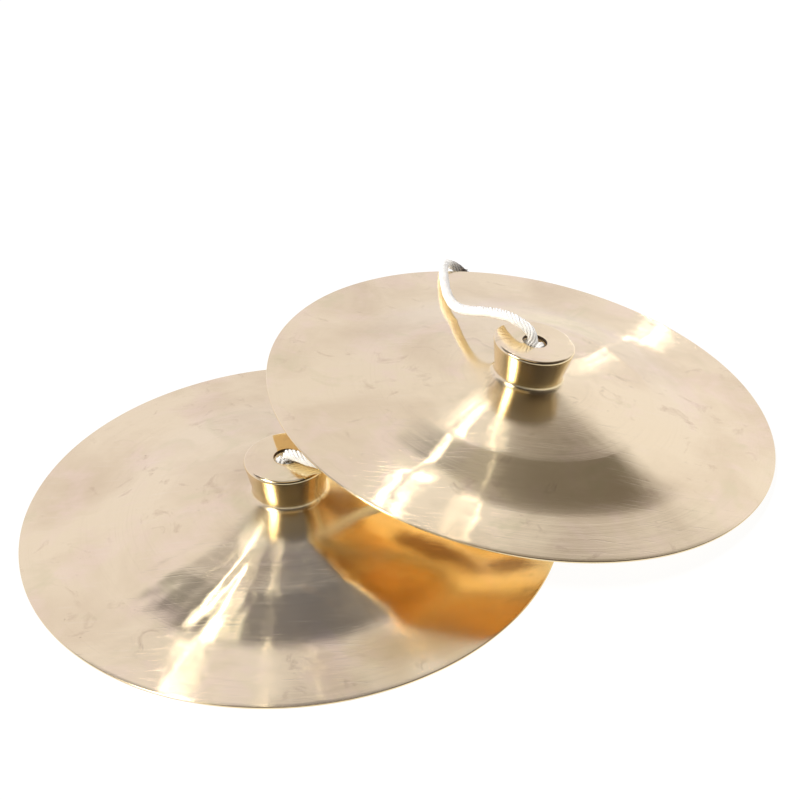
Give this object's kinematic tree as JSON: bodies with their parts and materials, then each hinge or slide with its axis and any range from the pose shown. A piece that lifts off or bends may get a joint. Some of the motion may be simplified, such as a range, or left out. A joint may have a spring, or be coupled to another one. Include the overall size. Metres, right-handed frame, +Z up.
{
  "type": "hand cymbals",
  "caption": "Pair of wide-brimmed brass hand cymbals with hollow grip knobs and twisted cotton hand cords, one lying flat and the other leaning on it.",
  "frame": {"origin": "bottom centre of the box round the two plates, on the surface they rest on", "axes": "+Z up, +X from the flat plate towards the leaning plate, along the pair's length; the front is seen along +Y"},
  "size_m": [0.4304, 0.3812, 0.078],
  "materials": {
    "hammered_brass": "turned and hand hammered, bright satin",
    "cotton_cord": "twisted three-strand cotton"
  },
  "bodies": {
    "lower": {"lower_plate": "hammered_brass"},
    "upper": {"upper_plate": "hammered_brass"},
    "lower_hand_cord": {"lower_cord": "cotton_cord", "lower_stopper_knot": "cotton_cord", "lower_knot_tail": "cotton_cord"},
    "upper_hand_cord": {"upper_cord": "cotton_cord", "upper_stopper_knot": "cotton_cord", "upper_knot_tail": "cotton_cord"}
  },
  "joints": [
    {"name": "upper_lift", "type": "slide", "parent": "lower", "child": "upper", "axis": [0, 0, 1], "range_m": [0, 0.2]},
    {"name": "upper_cord_swivel", "type": "hinge", "parent": "upper", "child": "upper_hand_cord", "pos_m": [0.07402, 0.03566, 0.06318], "axis": [0.1768, 0.0167, 0.9841], "range_deg": [-50, 60]},
    {"name": "lower_cord_swivel", "type": "hinge", "parent": "lower", "child": "lower_hand_cord", "pos_m": [-0.0652, -0.03502, 0.0372], "axis": [0, 0, 1], "range_deg": [-100, 0]}
  ]
}
